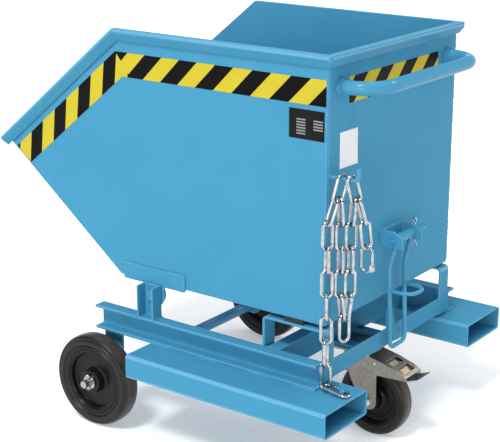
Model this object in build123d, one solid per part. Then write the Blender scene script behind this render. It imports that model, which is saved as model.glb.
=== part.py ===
from build123d import *
from math import asin, atan2, cos, degrees, pi, radians, sin, sqrt, tan
import os

os.makedirs("parts", exist_ok=True)

# A hand-pushed box trolley with a tipping bucket. All sizes are in millimetres.
# X runs to the rear, Y to the operator's right, Z up from the ground. While the pieces are drawn, X is
# counted from the outer face of the bucket's rear wall. At the end the trolley is moved so that its box is
# centred.

# Bucket of folded sheet
sheet = 3.0
bucket_width = 600.0
bucket_height = 650.0
bucket_lift = 88.0            # underside of the floor above the side beams
floor_length = 642.0
spout_reach = 400.0
spout_rise = 314.0
pour_edge_setback = 10.0
rear_corner_radius = 6.0
rear_sheet_return = 15.0
rim_level_length = 644.0
rim_slope = 39.0              # degrees, sloping rim of the spout
rim_overreach = 10.0
rim_width = 22.5
rim_drop = 30.0
rim_edge_radius = 7.0
rim_corner_radius = 12.0
rim_return_gap = 1.5

# Bucket pivots
pivot_setback = 527.0
pivot_drop = 32.0             # pivot below the underside of the floor
pivot_bolt_diameter = 20.0
pivot_bolt_head_diameter = 30.0
pivot_bolt_head_height = 9.0
pivot_nut_height = 10.0
pivot_plate_thickness = 5.0
pivot_plate_length = 200.0
pivot_plate_above = 37.0
pivot_plate_below = 7.0
pivot_tongue_radius = 34.0
pivot_boss_diameter = 56.0
pivot_boss_length = 12.0

# Frame
side_gap = 7.0                # bucket wall to the inner face of the side beams
beam_height = 65.0
beam_flange = 36.0
beam_web = 6.0
beam_flange_thickness = 7.0
beam_root_radius = 5.0
beam_nose = 40.0              # beam ahead of the front axle
castor_headroom = 47.0        # castor wheel to the underside of the side beams
pocket_height = 64.0
pocket_width = 185.0
pocket_wall = 4.0
pocket_corner_radius = 8.0
pocket_spacing = 697.0        # centre to centre
pocket_front_setback = 511.0
pocket_rear_overhang = 96.0
post_length = 54.0
post_height = 86.0
post_wall = 5.0
support_width = 45.0
support_length = 181.0
support_thickness = 6.0
support_bend_radius = 12.0
support_foot_drop = 57.0      # feet of the supports below the top of the beams
support_overhang = 3.0        # rear face of the supports behind the rear wall
buffer_length = 55.0
buffer_width = 38.0
buffer_height = 11.0
buffer_edge_radius = 2.0
buffer_screw_diameter = 8.0
buffer_screw_head_diameter = 16.0
buffer_screw_head_height = 4.0
buffer_screw_recess = 3.0
buffer_screw_tail = 9.0
rest_gap = 0.4                # bucket floor above the buffers
channel_flange = 37.0
cross_bar_height = 45.0
rail_width = 30.0
rail_thickness = 11.0
rail_slant = 18.0             # slanting rear end of the castor rails
rail_lip = 2.0

# Front wheels and axle
wheel_diameter = 250.0
wheel_width = 52.0
wheel_gap = 16.5              # side beam to tyre
axle_setback = 661.0
axle_diameter = 30.0
axle_journal_diameter = 20.0
axle_tail = 22.0              # axle end beyond the washer
axle_bracket_thickness = 8.0
axle_bracket_inset = 3.0      # bracket from the inner face of the beam
axle_bracket_length = 60.0
hub_length = 60.0
tyre_depth = 37.0
washer_thickness = 3.0
washer_diameter = 38.0
split_pin_diameter = 5.0
split_pin_length = 40.0
split_pin_eye_radius = 5.0

# Swivel castor with brake
castor_setback = 74.0
castor_trail = 42.0
castor_wheel_diameter = 200.0
castor_wheel_width = 46.0
castor_tyre_depth = 26.0
castor_hub_length = 58.0
castor_axle_diameter = 12.0
castor_plate_length = 110.0
castor_plate_width = 140.0
castor_plate_thickness = 7.0
castor_plate_corner = 10.0
castor_hole_spacing_x = 80.0
castor_hole_spacing_y = 105.0
castor_bolt_diameter = 10.0
castor_bolt_head = 6.4
castor_nut_height = 8.0
castor_nut_flats = 17.0
castor_channel_gap = 12.0     # bolt row to the cross channel
race_diameter = 84.0
race_height = 13.0
kingpin_diameter = 20.0
kingpin_flange_diameter = 30.0
kingpin_flange_height = 6.0
bearing_wall = 7.0
fork_leg_thickness = 5.0
fork_inside_width = 67.0
fork_crown_thickness = 7.0
fork_crown_front = 46.0
fork_crown_rear = 40.0
fork_front_depth = 58.0       # lower edge of the front wall below the top of the crown
fork_nose_radius = 26.0
fork_eye_radius = 22.0
hood_wall = 3.5
hood_middle_reach = 88.0      # hood line behind the king pin and below the crown
hood_middle_drop = 10.5
hood_rear_reach = 134.0
hood_rear_drop = 24.5
hood_reach = 152.0
hood_drop = 34.5
hood_end_height = 9.0
hood_depth = 48.0
hood_window_start = 84.0
hood_window_length = 22.0
hood_window_width = 52.0
hood_window_gap = 13.0
brake_pin_diameter = 8.0
brake_pin_reach = 58.0
brake_pin_drop = 10.0         # brake pin below the fork crown
brake_eye_radius = 7.0
brake_lever_wall = 3.0
brake_lever_width = 60.0
brake_lever_start = 68.0
brake_lever_rise = 4.0        # front of the lever above its pin
brake_lever_middle = 118.0
brake_lever_middle_drop = 9.5
brake_lever_cheek = 8.0
brake_tread_start = 148.0
brake_tread_drop = 26.5
brake_tread_reach = 182.0
brake_tread_rise = 12.5
brake_shoe_width = 34.0
brake_shoe_start = 82.0
brake_shoe_length = 22.0
brake_shoe_gap = 5.0

# Push handle
handle_tube = 33.7
handle_wall = 2.6
handle_half_span = 250.0
handle_reach = 94.0
handle_drop = 80.0            # below the top of the rim
handle_bend_radius = 75.0
collar_diameter = 41.0
collar_thickness = 4.0

# Latch
latch_pin_diameter = 14.0
latch_pin_reach = 34.0
latch_pin_height = 155.0      # above the underside of the bucket
latch_pin_tail = 54.0
latch_lug_half_gap = 44.0
latch_lug_thickness = 6.0
latch_lug_reach = 61.0
latch_lug_above = 22.0
latch_lug_below = 19.0
latch_lug_slope = 15.0
latch_base_thickness = 5.0
bail_bar = 11.5
bail_half_width = 37.0
bail_drop = 291.0             # bottom bar below the latch pin
bail_elbow_drop = 81.0
bail_elbow_inset = 16.0
bail_bend_radius = 18.0
bail_sleeve_diameter = 24.0
grip_bar = 10.0
grip_drop = 138.0
grip_reach = 50.0
grip_bend_radius = 32.0
catch_reach = 17.0
catch_width = 20.0
catch_height = 80.0
catch_nose_height = 8.0
catch_base_rise = 16.0        # underside of the catch above the underside of the cross bar
catch_tip = 8.0
latch_clearance = 1.0
latch_split_length = 74.0
latch_split_spread = 3.6      # foot of a leg off the pin's axis, in wire radii

# Safety chain, hook and snap hook
link_wire = 8.0
link_pitch = 58.6
link_width = 33.0
link_play = 0.4
link_turn = -30.0             # degrees, facing of the odd links from the X axis
hook_bar = 10.0
hook_reach = 78.0
hook_bend_radius = 12.0
hook_upturn = 30.0
hook_inset = 11.0             # hook from the bucket's side wall
hook_spread = 24.0            # between the two links on the hook
bundle_reach = 47.0           # middle of the strands from the rear wall
strand_pitch = 23.0
strand_run = 38.0             # degrees, row of strands from the X axis
pocket_strand_links = 9
pocket_strand_sway = 15.0     # how far the outer strand hangs outwards
pocket_strand_twist = -52.0   # degrees from its top to its end
loop_strand_links = 6
short_strand_links = 3
short_strand_twist = 4.0      # degrees
short_strand_sway = 14.5
stud_place_share = 0.72       # stud along the flat end link
stud_diameter = 12.0
stud_height = 18.0
snap_wire = 7.0
snap_length = 72.0
snap_width = 39.0
snap_gate_length = 30.0
snap_turn = -4.0              # degrees
snap_cheek = 1.6
snap_pin_diameter = 2.6

# Tapes, type plate and label
tape_thickness = 0.5
tape_width = 62.0
tape_drop = 59.0              # side tape below the level rim
spout_tape_drop = 47.0        # side tape below the sloping rim
tape_edge_margin = 3.0
rear_tape_drop = 63.0
rear_tape_left = 213.0
rear_tape_right = 203.0
plate_thickness = 0.8
plate_length = 98.0
plate_height = 70.0
plate_rear_inset = 10.0
plate_drop = 133.0
rivet_diameter = 6.0
rivet_head = 1.5
rivet_inset = 7.0
label_thickness = 0.4
label_width = 77.0
label_height = 87.0
label_side_inset = 51.0
label_drop = 189.0

# Fits
running_clearance = 0.05
loose_clearance = 0.3
side_play = 0.5

# Heights and places worked out from the driving sizes
half_width = bucket_width / 2
beam_inner = half_width + side_gap
beam_outer = beam_inner + beam_flange
beam_bottom = castor_wheel_diameter + castor_headroom
pocket_bottom = beam_bottom - pocket_height
beam_top = beam_bottom + beam_height
base = beam_top + bucket_lift
top = base + bucket_height
pivot_x = -pivot_setback
pivot_z = base - pivot_drop
axle_x = -axle_setback
axle_z = wheel_diameter / 2
support_rear = support_overhang
support_front = support_rear - support_length
support_inner = beam_inner - support_width
support_top = base - rest_gap - buffer_height
rail_top = beam_bottom + rail_thickness
castor_x = -castor_setback
castor_axle_x = castor_x + castor_trail
castor_axle_z = castor_wheel_diameter / 2
plate_bottom = beam_bottom - castor_plate_thickness
race_bottom = plate_bottom - race_height
crown_top = race_bottom - side_play
crown_bottom = crown_top - fork_crown_thickness
channel_rear = castor_x - castor_hole_spacing_x / 2 - castor_channel_gap
channel_front = channel_rear - channel_flange
handle_z = top - handle_drop
latch_x = latch_pin_reach
latch_z = base + latch_pin_height
spout_angle = atan2(spout_rise, spout_reach)
rim_angle = radians(rim_slope)

pieces = {}


def block(x0, x1, y0, y1, z0, z1):
    """A box between two corners."""
    return Pos((x0 + x1) / 2, (y0 + y1) / 2, (z0 + z1) / 2) * Box(x1 - x0, y1 - y0, z1 - z0)


def side_plate(outline, y0, y1):
    """A plate with an outline of (x, z) points, between two Y planes."""
    face = make_face(Polyline([(x, y0, z) for x, z in outline], close=True))
    return extrude(face, amount=y1 - y0, dir=(0, 1, 0))


def shaft_y(x, z, y0, y1, diameter):
    """A round bar along Y."""
    return Pos(x, (y0 + y1) / 2, z) * Rot(90, 0, 0) * Cylinder(diameter / 2, y1 - y0)


def shaft_z(x, y, z0, z1, diameter):
    """A round bar along Z."""
    return Pos(x, y, (z0 + z1) / 2) * Cylinder(diameter / 2, z1 - z0)


def hexagon_z(x, y, z0, z1, flats):
    """A hexagon prism along Z."""
    return Pos(x, y, z0) * extrude(RegularPolygon(flats / 2, 6, major_radius=False), amount=z1 - z0)


def hexagon_y(x, z, y0, y1, flats):
    """A hexagon prism along Y."""
    section = RegularPolygon(flats / 2, 6, major_radius=False)
    return Pos(x, y0, z) * Rot(-90, 0, 0) * extrude(section, amount=y1 - y0)


def turned(profile, x, y, z):
    """A ring turned about an axis along Y from (radius, height) points."""
    face = make_face(Polyline([(radius, height) for radius, height in profile], close=True))
    return Pos(x, y, z) * revolve(face, axis=Axis.Y)


def bent_bar(points, bend, diameter):
    """A round bar bent along a polyline."""
    path = FilletPolyline(*points, radius=bend)
    return sweep(Plane(origin=path @ 0, z_dir=path % 0) * Circle(diameter / 2), path=path)


def right_of(shape):
    """The right-hand copy of a left-hand shape."""
    return mirror(shape, about=Plane.XZ)


def add_sides(name, left):
    """Left and right pieces as a node each."""
    pieces[name + "_left"] = left
    pieces[name + "_right"] = right_of(left)


def group(*shapes):
    """Separate solids in one node."""
    return Compound(children=[solid for shape in shapes for solid in shape.solids()])


def both(left):
    """A left-hand shape and its right-hand copy as separate solids in one node."""
    return group(left, right_of(left))


def meet(point_a, angle_a, point_b, angle_b):
    """The point where two lines in the XZ plane cross."""
    ax, az = point_a
    bx, bz = point_b
    turn = sin(angle_b - angle_a)
    along = ((bx - ax) * sin(angle_b) - (bz - az) * cos(angle_b)) / turn
    return ax + along * cos(angle_a), az + along * sin(angle_a)


def split_pin(length, eye_radius, diameter, spread=1.6):
    """A split pin along Z through the origin, with its eye at the top and its legs spread below."""
    wire = diameter / 2
    stem = Cylinder(wire - running_clearance, length * 0.62)
    eye = Pos(0, 0, length * 0.31 + eye_radius) * Rot(90, 0, 0) * Torus(eye_radius, wire * 0.7)
    leg_path = Polyline((0, 0, -length * 0.30), (wire * spread, 0, -length * 0.5))
    leg = sweep(Plane(origin=leg_path @ 0, z_dir=leg_path % 0) * Circle(wire * 0.6), path=leg_path)
    return stem + eye + leg + mirror(leg, about=Plane.YZ)


# Bucket sheets

knee = (-floor_length, base)
rim_break = (-rim_level_length, top)
apex = meet(knee, pi - spout_angle, rim_break, pi + rim_angle)
rim_tip = (apex[0] - rim_overreach * cos(rim_angle), apex[1] - rim_overreach * sin(rim_angle))


def rim_section(plane):
    """The folded lip: a top flange and a slanting return that stops just short of the wall."""
    run = rim_width - rim_return_gap - sheet
    slant = sqrt(run**2 + rim_drop**2)
    foot = (rim_return_gap + sheet, rim_drop)
    inner_foot = (foot[0] - sheet * rim_drop / slant, foot[1] - sheet * run / slant)
    inner_corner_x = inner_foot[0] + (inner_foot[1] - sheet) * run / rim_drop
    corners = [(0, 0), (rim_width, 0), foot, inner_foot, (inner_corner_x, sheet), (0, sheet)]
    section = make_face(Polyline(corners, close=True))
    section = fillet(section.vertices().sort_by(Axis.X)[-1], rim_edge_radius)
    inner_corner = section.vertices().sort_by_distance((inner_corner_x, sheet, 0))[0]
    return plane * fillet(inner_corner, rim_edge_radius - sheet)


def rim_limit():
    """The room that the rim fills, with its rear corners rounded."""
    fold = pi / 2 - atan2(rim_width - rim_return_gap - sheet, rim_drop)
    reach = rim_width - rim_edge_radius / tan(fold / 2) + rim_edge_radius
    room = block(2 * rim_tip[0], reach, -half_width - reach, half_width + reach, base, top)
    return fillet(room.edges().filter_by(Axis.Z).group_by(Axis.X)[-1], rim_corner_radius)


def side_sheet():
    outline = [(-rear_sheet_return, base), knee, apex, rim_break, (-rear_sheet_return, top)]
    wall = side_plate(outline, -half_width, -half_width + sheet)
    path = Polyline((rim_tip[0], -half_width, rim_tip[1]), (rim_break[0], -half_width, top),
                    (rim_width * 2, -half_width, top))
    start = Plane(origin=path @ 0, x_dir=(0, -1, 0), z_dir=path % 0)
    rim = sweep(rim_section(start), path=path, transition=Transition.RIGHT)
    rim = split(rim, bisect_by=Plane(origin=(0, -half_width, 0), z_dir=(1, 1, 0)), keep=Keep.BOTTOM)
    return wall + (rim & rim_limit())


def rear_sheet():
    outer = block(-rear_sheet_return, 0, -half_width, half_width, base, top)
    outer = fillet(outer.edges().filter_by(Axis.Z).group_by(Axis.X)[-1], rear_corner_radius)
    inner = block(-2 * rear_sheet_return, -sheet, -half_width + sheet, half_width - sheet,
                  base - sheet, top + sheet)
    inner = fillet(inner.edges().filter_by(Axis.Z).group_by(Axis.X)[-1], rear_corner_radius - sheet)
    reach = half_width + 2 * rim_width
    start = Plane(origin=(0, -reach, top), x_dir=(1, 0, 0), z_dir=(0, 1, 0))
    rim = extrude(rim_section(start), amount=2 * reach, dir=(0, 1, 0))
    rim = split(rim, bisect_by=Plane(origin=(0, -half_width, 0), z_dir=(1, 1, 0)), keep=Keep.TOP)
    rim = split(rim, bisect_by=Plane(origin=(0, half_width, 0), z_dir=(1, -1, 0)), keep=Keep.TOP)
    return outer - inner + (rim & rim_limit())


def floor_sheet():
    slope_length = sqrt((apex[0] - knee[0]) ** 2 + (apex[1] - knee[1]) ** 2) - pour_edge_setback
    edge = (knee[0] - slope_length * cos(spout_angle), knee[1] + slope_length * sin(spout_angle))
    inner_edge = (edge[0] + sheet * sin(spout_angle), edge[1] + sheet * cos(spout_angle))
    inner_knee = (knee[0] + sheet * tan(spout_angle / 2), base + sheet)
    outline = [(-sheet, base), knee, edge, inner_edge, inner_knee, (-sheet, base + sheet)]
    return side_plate(outline, -half_width + sheet, half_width - sheet)


add_sides("bucket_side", side_sheet())
pieces["bucket_rear"] = rear_sheet()
pieces["bucket_floor"] = floor_sheet() - pieces["bucket_rear"]

# Bucket pivots: plates and bosses on the bucket, bolts and nuts on the frame

pivot_bore = pivot_bolt_diameter + 2 * running_clearance


def pivot_plate():
    outer = -half_width - pivot_plate_thickness
    half_length = pivot_plate_length / 2
    plate = block(pivot_x - half_length, pivot_x + half_length, outer, -half_width,
                  base - pivot_plate_below, base + pivot_plate_above)
    neck = block(pivot_x - pivot_tongue_radius, pivot_x + pivot_tongue_radius, outer, -half_width,
                 pivot_z, base)
    tongue = shaft_y(pivot_x, pivot_z, outer, -half_width, 2 * pivot_tongue_radius)
    return plate + neck + tongue - shaft_y(pivot_x, pivot_z, outer, -half_width, pivot_bore)


def pivot_boss():
    inner = -half_width + pivot_boss_length
    ring = shaft_y(pivot_x, pivot_z, -half_width, inner, pivot_boss_diameter)
    return ring - shaft_y(pivot_x, pivot_z, -half_width, inner, pivot_bore)


def pivot_bolt():
    face = -beam_inner - post_wall
    nut_inner = -half_width + pivot_boss_length + side_play + pivot_nut_height
    head = shaft_y(pivot_x, pivot_z, face - pivot_bolt_head_height, face, pivot_bolt_head_diameter)
    head = fillet(head.edges().group_by(Axis.Y)[0], pivot_bolt_head_height / 4)
    return head + shaft_y(pivot_x, pivot_z, face, nut_inner + split_pin_diameter, pivot_bolt_diameter)


def pivot_nut():
    start = -half_width + pivot_boss_length + side_play
    nut = hexagon_y(pivot_x, pivot_z, start, start + pivot_nut_height, pivot_bolt_head_diameter)
    return nut - shaft_y(pivot_x, pivot_z, start, start + pivot_nut_height, pivot_bore)


pieces["pivot_plates"] = both(pivot_plate())
pieces["pivot_bosses"] = both(pivot_boss())
pieces["pivot_bolts"] = both(pivot_bolt())
pieces["pivot_nuts"] = both(pivot_nut())

# Frame: side beams, fork pockets, posts and rear supports


def side_beam():
    x0 = axle_x - beam_nose
    beam = block(x0, support_rear, -beam_outer, -beam_inner, beam_bottom, beam_top)
    hollow = block(x0, support_rear, -beam_outer - beam_flange, -beam_inner - beam_web,
                   beam_bottom + beam_flange_thickness, beam_top - beam_flange_thickness)
    hollow = fillet(hollow.edges().filter_by(Axis.X).group_by(Axis.Y)[-1], beam_root_radius)
    return beam - hollow


def fork_pocket():
    x0 = -pocket_front_setback
    x1 = pocket_rear_overhang
    y0 = -pocket_spacing / 2 - pocket_width / 2
    y1 = y0 + pocket_width
    z0 = pocket_bottom
    tube = block(x0, x1, y0, y1, z0, beam_bottom)
    tube = fillet(tube.edges().filter_by(Axis.X), pocket_corner_radius)
    hole = block(x0, x1, y0 + pocket_wall, y1 - pocket_wall, z0 + pocket_wall, beam_bottom - pocket_wall)
    hole = fillet(hole.edges().filter_by(Axis.X), pocket_corner_radius - pocket_wall)
    return tube - hole


def front_post():
    x0 = pivot_x - post_length / 2
    x1 = pivot_x + post_length / 2
    z1 = beam_top + post_height
    post = block(x0, x1, -beam_outer, -beam_inner, beam_top, z1)
    post -= block(x0 + post_wall, x1 - post_wall, -beam_outer, -beam_inner - post_wall, beam_top, z1)
    return post - shaft_y(pivot_x, pivot_z, -beam_outer, -beam_inner, pivot_bore)


buffer_x = (support_front + support_rear) / 2
buffer_y = -(support_inner + beam_inner) / 2


def rear_support():
    foot = beam_top - support_foot_drop
    strap = block(support_front, support_rear, -beam_inner, -support_inner, foot, support_top)
    strap = fillet(strap.edges().filter_by(Axis.Y).group_by(Axis.Z)[-1], support_bend_radius)
    inside = block(support_front + support_thickness, support_rear - support_thickness,
                   -beam_inner, -support_inner, foot, support_top - support_thickness)
    inside_radius = support_bend_radius - support_thickness
    inside = fillet(inside.edges().filter_by(Axis.Y).group_by(Axis.Z)[-1], inside_radius)
    hole = shaft_z(buffer_x, buffer_y, support_top - support_thickness, support_top,
                   buffer_screw_diameter + 2 * running_clearance)
    return strap - inside - hole


def rubber_buffer():
    z1 = support_top + buffer_height
    pad = block(buffer_x - buffer_length / 2, buffer_x + buffer_length / 2,
                buffer_y - buffer_width / 2, buffer_y + buffer_width / 2, support_top, z1)
    pad = fillet(pad.edges().group_by(Axis.Z)[-1], buffer_edge_radius)
    seat = z1 - buffer_screw_recess - buffer_screw_head_height
    pad -= shaft_z(buffer_x, buffer_y, seat, z1, buffer_screw_head_diameter + 2 * loose_clearance)
    return pad - shaft_z(buffer_x, buffer_y, support_top, seat, buffer_screw_diameter + 2 * running_clearance)


def buffer_screw():
    seat = support_top + buffer_height - buffer_screw_recess - buffer_screw_head_height
    tail = support_top - support_thickness - buffer_screw_tail
    head = shaft_z(buffer_x, buffer_y, seat, seat + buffer_screw_head_height, buffer_screw_head_diameter)
    return head + shaft_z(buffer_x, buffer_y, tail, seat, buffer_screw_diameter)


add_sides("side_beam", side_beam())
add_sides("fork_pocket", fork_pocket())
pieces["front_posts"] = both(front_post())
pieces["rear_supports"] = both(rear_support())
pieces["rubber_buffers"] = both(rubber_buffer())
pieces["buffer_screws"] = both(buffer_screw())

# Cross members and the rails that carry the castor

cross_bar_top = rail_top + cross_bar_height
hole_y = castor_hole_spacing_y / 2
bolt_places = [(castor_x + sx * castor_hole_spacing_x / 2, sy * hole_y) for sx in (-1, 1) for sy in (-1, 1)]


def cross_channel():
    channel = block(channel_front, channel_rear, -beam_inner, beam_inner, beam_bottom, beam_top)
    hollow = block(channel_front - channel_flange, channel_rear - beam_web, -beam_inner, beam_inner,
                   beam_bottom + beam_flange_thickness, beam_top - beam_flange_thickness)
    hollow = fillet(hollow.edges().filter_by(Axis.Y).group_by(Axis.X)[-1], beam_root_radius)
    return channel - hollow


def castor_rail():
    outline = [(channel_rear, beam_bottom), (support_rear - rail_slant, beam_bottom),
               (support_rear, rail_top - rail_lip), (support_rear, rail_top), (channel_rear, rail_top)]
    rail = side_plate(outline, -hole_y - rail_width / 2, -hole_y + rail_width / 2)
    for x, y in bolt_places:
        if y < 0:
            rail -= shaft_z(x, y, beam_bottom, rail_top, castor_bolt_diameter + 2 * running_clearance)
    return rail


pieces["cross_channel"] = cross_channel()
pieces["rear_cross_bar"] = block(support_rear - support_thickness, support_rear,
                                 -support_inner, support_inner, rail_top, cross_bar_top)
pieces["castor_rails"] = both(castor_rail())

# Front axle and wheels

wheel_y = beam_outer + wheel_gap + wheel_width / 2
hub_outer = wheel_y + hub_length / 2
washer_inner = hub_outer + side_play
axle_end = washer_inner + washer_thickness + axle_tail
axle_pin_y = washer_inner + washer_thickness + split_pin_diameter
rim_radius = wheel_diameter / 2 - tyre_depth


def axle_bracket():
    y0 = -beam_inner - axle_bracket_inset - axle_bracket_thickness
    y1 = y0 + axle_bracket_thickness
    half = axle_bracket_length / 2
    plate = block(axle_x - half, axle_x + half, y0, y1, axle_z, beam_bottom)
    plate += shaft_y(axle_x, axle_z, y0, y1, axle_bracket_length)
    return plate - shaft_y(axle_x, axle_z, y0, y1, axle_diameter + 2 * running_clearance)


def front_axle():
    shoulder = wheel_y - hub_length / 2 - side_play
    bar = shaft_y(axle_x, axle_z, -shoulder, shoulder, axle_diameter)
    bar += shaft_y(axle_x, axle_z, -axle_end, axle_end, axle_journal_diameter)
    for side in (-1, 1):
        bar -= shaft_z(axle_x, side * axle_pin_y, axle_z - axle_diameter, axle_z + axle_diameter,
                       split_pin_diameter)
    return bar


def tyre(radius, width, depth, x, y, z):
    """A solid rubber tyre with a crowned tread and a step round each sidewall."""
    half = width / 2
    step = width / 26
    side = [(radius - depth, half - step), (radius - 0.72 * depth, half - step),
            (radius - 0.66 * depth, half), (radius - 0.34 * depth, half),
            (radius - 0.27 * depth, half - step),
            (radius - 0.12 * depth, half - 2 * step), (radius - 0.03 * depth, 0.62 * half),
            (radius, 0.30 * half)]
    return turned(side + [(r, -h) for r, h in reversed(side)], x, y, z)


def wheel_centre(radius, width, hub, bore, x, y, z):
    """A dished wheel centre with a hub boss and an outer flange under the tyre."""
    hub_radius = bore + 0.16 * radius
    web = width / 8
    flange = 0.42 * width
    side = [(bore, hub / 2), (hub_radius, hub / 2), (hub_radius + web, 1.4 * web), (0.86 * radius, web),
            (0.92 * radius, flange), (radius, flange)]
    return turned(side + [(r, -h) for r, h in reversed(side)], x, y, z)


def bearing(shaft, outer, length, x, y, z):
    """A roller bearing ring that turns on a fixed axle."""
    inner = shaft / 2 + running_clearance
    half = length / 2
    return turned([(inner, -half), (outer, -half), (outer, half), (inner, half)], x, y, z)


bearing_radius = axle_journal_diameter / 2 + bearing_wall
pieces["axle_brackets"] = both(axle_bracket())
pieces["front_axle"] = front_axle()
washer = shaft_y(axle_x, axle_z, -washer_inner - washer_thickness, -washer_inner, washer_diameter)
washer -= shaft_y(axle_x, axle_z, -washer_inner - washer_thickness, -washer_inner,
                  axle_journal_diameter + 2 * running_clearance)
pieces["axle_washers"] = both(washer)
pieces["axle_split_pins"] = both(
    Pos(axle_x, -axle_pin_y, axle_z) * split_pin(split_pin_length, split_pin_eye_radius, split_pin_diameter))
add_sides("front_tyre", tyre(wheel_diameter / 2, wheel_width, tyre_depth, axle_x, -wheel_y, axle_z))
add_sides("front_rim", wheel_centre(rim_radius, wheel_width, hub_length, bearing_radius,
                                    axle_x, -wheel_y, axle_z))
add_sides("front_bearing", bearing(axle_journal_diameter, bearing_radius, hub_length,
                                   axle_x, -wheel_y, axle_z))

# Swivel castor

leg_outer = fork_inside_width / 2 + fork_leg_thickness
castor_bore = castor_axle_diameter / 2 + bearing_wall
castor_rim_radius = castor_wheel_diameter / 2 - castor_tyre_depth


def castor_top_plate():
    half_x = castor_plate_length / 2
    half_y = castor_plate_width / 2
    plate = block(castor_x - half_x, castor_x + half_x, -half_y, half_y, plate_bottom, beam_bottom)
    plate = fillet(plate.edges().filter_by(Axis.Z), castor_plate_corner)
    plate += shaft_z(castor_x, 0, race_bottom, plate_bottom, race_diameter)
    for x, y in bolt_places:
        plate -= shaft_z(x, y, plate_bottom, beam_bottom, castor_bolt_diameter + 2 * running_clearance)
    return plate - shaft_z(castor_x, 0, race_bottom, beam_bottom, kingpin_diameter + 2 * running_clearance)


def castor_kingpin():
    flange_top = crown_bottom - side_play
    pin = shaft_z(castor_x, 0, flange_top, beam_bottom, kingpin_diameter)
    return pin + shaft_z(castor_x, 0, flange_top - kingpin_flange_height, flange_top, kingpin_flange_diameter)


def castor_bolt(x, y):
    head = hexagon_z(x, y, plate_bottom - castor_bolt_head, plate_bottom, castor_nut_flats)
    return head + shaft_z(x, y, plate_bottom, rail_top + castor_nut_height + side_play, castor_bolt_diameter)


def castor_nut(x, y):
    nut = hexagon_z(x, y, rail_top, rail_top + castor_nut_height, castor_nut_flats)
    return nut - shaft_z(x, y, rail_top, rail_top + castor_nut_height,
                         castor_bolt_diameter + 2 * running_clearance)


brake_pin_x = castor_x + brake_pin_reach
brake_pin_z = crown_bottom - brake_pin_drop


hood_line = [(castor_x + fork_crown_rear, crown_top),
             (castor_x + hood_middle_reach, crown_top - hood_middle_drop),
             (castor_x + hood_rear_reach, crown_top - hood_rear_drop),
             (castor_x + hood_reach, crown_top - hood_drop)]


def castor_fork():
    """Two legs, a round-cornered front wall, a crown and a hood behind, with two windows across the hood."""
    ax = castor_axle_x
    az = castor_axle_z
    r = fork_eye_radius
    wall = fork_leg_thickness
    front = castor_x - fork_crown_front
    flat = front + fork_nose_radius
    front_low = crown_top - fork_front_depth
    end_x, end_z = hood_line[-1]
    leg = [(flat, crown_top)] + hood_line
    leg += [(end_x, end_z - hood_end_height), (ax + r, crown_top - hood_depth), (ax + r, az), (ax - r, az),
            (ax - 2.3 * r, az + 1.9 * r), (flat, front_low)]
    plate = side_plate(leg, -leg_outer, -leg_outer + wall)
    plate += shaft_y(ax, az, -leg_outer, -leg_outer + wall, 2 * r)
    crown = block(front, castor_x + fork_crown_rear, -leg_outer, leg_outer, crown_bottom, crown_top)
    crown = fillet(crown.edges().filter_by(Axis.Z).group_by(Axis.X)[0], fork_nose_radius)
    nose = block(front, flat + wall, -leg_outer, leg_outer, front_low, crown_top)
    nose = fillet(nose.edges().filter_by(Axis.Z).group_by(Axis.X)[0], fork_nose_radius)
    inside = block(front + wall, flat + 2 * wall, -leg_outer + wall, leg_outer - wall, front_low, crown_top)
    inside = fillet(inside.edges().filter_by(Axis.Z).group_by(Axis.X)[0], fork_nose_radius - wall)
    nose = (nose - inside) & block(front, flat, -leg_outer, leg_outer, front_low, crown_top)
    underside = [(x, z - hood_wall) for x, z in reversed(hood_line)]
    hood = side_plate(hood_line + underside, -leg_outer, leg_outer)
    for step in range(2):
        x0 = castor_x + hood_window_start + step * (hood_window_length + hood_window_gap)
        hood -= block(x0, x0 + hood_window_length, -hood_window_width / 2, hood_window_width / 2,
                      end_z, crown_top)
    fork = crown + nose + hood + plate + right_of(plate)
    fork -= shaft_y(ax, az, -leg_outer, leg_outer, castor_axle_diameter + 2 * running_clearance)
    fork -= shaft_y(brake_pin_x, brake_pin_z, -leg_outer, leg_outer,
                    brake_pin_diameter + 2 * running_clearance)
    return fork - shaft_z(castor_x, 0, crown_bottom, crown_top, kingpin_diameter + 2 * running_clearance)


def castor_axle_bolt():
    head_height = 0.65 * castor_axle_diameter
    flats = 1.55 * castor_axle_diameter
    tail = leg_outer + castor_axle_diameter
    bolt = shaft_y(castor_axle_x, castor_axle_z, -tail, leg_outer, castor_axle_diameter)
    bolt += hexagon_y(castor_axle_x, castor_axle_z, leg_outer, leg_outer + head_height, flats)
    nut_inner = -leg_outer - running_clearance
    nut_outer = nut_inner - 0.8 * castor_axle_diameter
    nut = hexagon_y(castor_axle_x, castor_axle_z, nut_outer, nut_inner, flats)
    nut -= shaft_y(castor_axle_x, castor_axle_z, nut_outer, nut_inner,
                   castor_axle_diameter + 2 * running_clearance)
    return group(bolt, nut)


# Brake lever: a strip under the hood, hung on a pin between the legs, with a tread behind the hood and a
# shoe below

lever_start = (castor_x + brake_lever_start, brake_pin_z + brake_lever_rise)
lever_middle = (castor_x + brake_lever_middle, brake_pin_z - brake_lever_middle_drop)
tread_low = (castor_x + brake_tread_start, brake_pin_z - brake_tread_drop)
tread_high = (castor_x + brake_tread_reach, tread_low[1] + brake_tread_rise)
lever_slope = (lever_middle[1] - lever_start[1]) / (lever_middle[0] - lever_start[0])


def lever_height(x):
    """Height of the lever's top face at a place along X."""
    return lever_start[1] + lever_slope * (x - lever_start[0])


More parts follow.
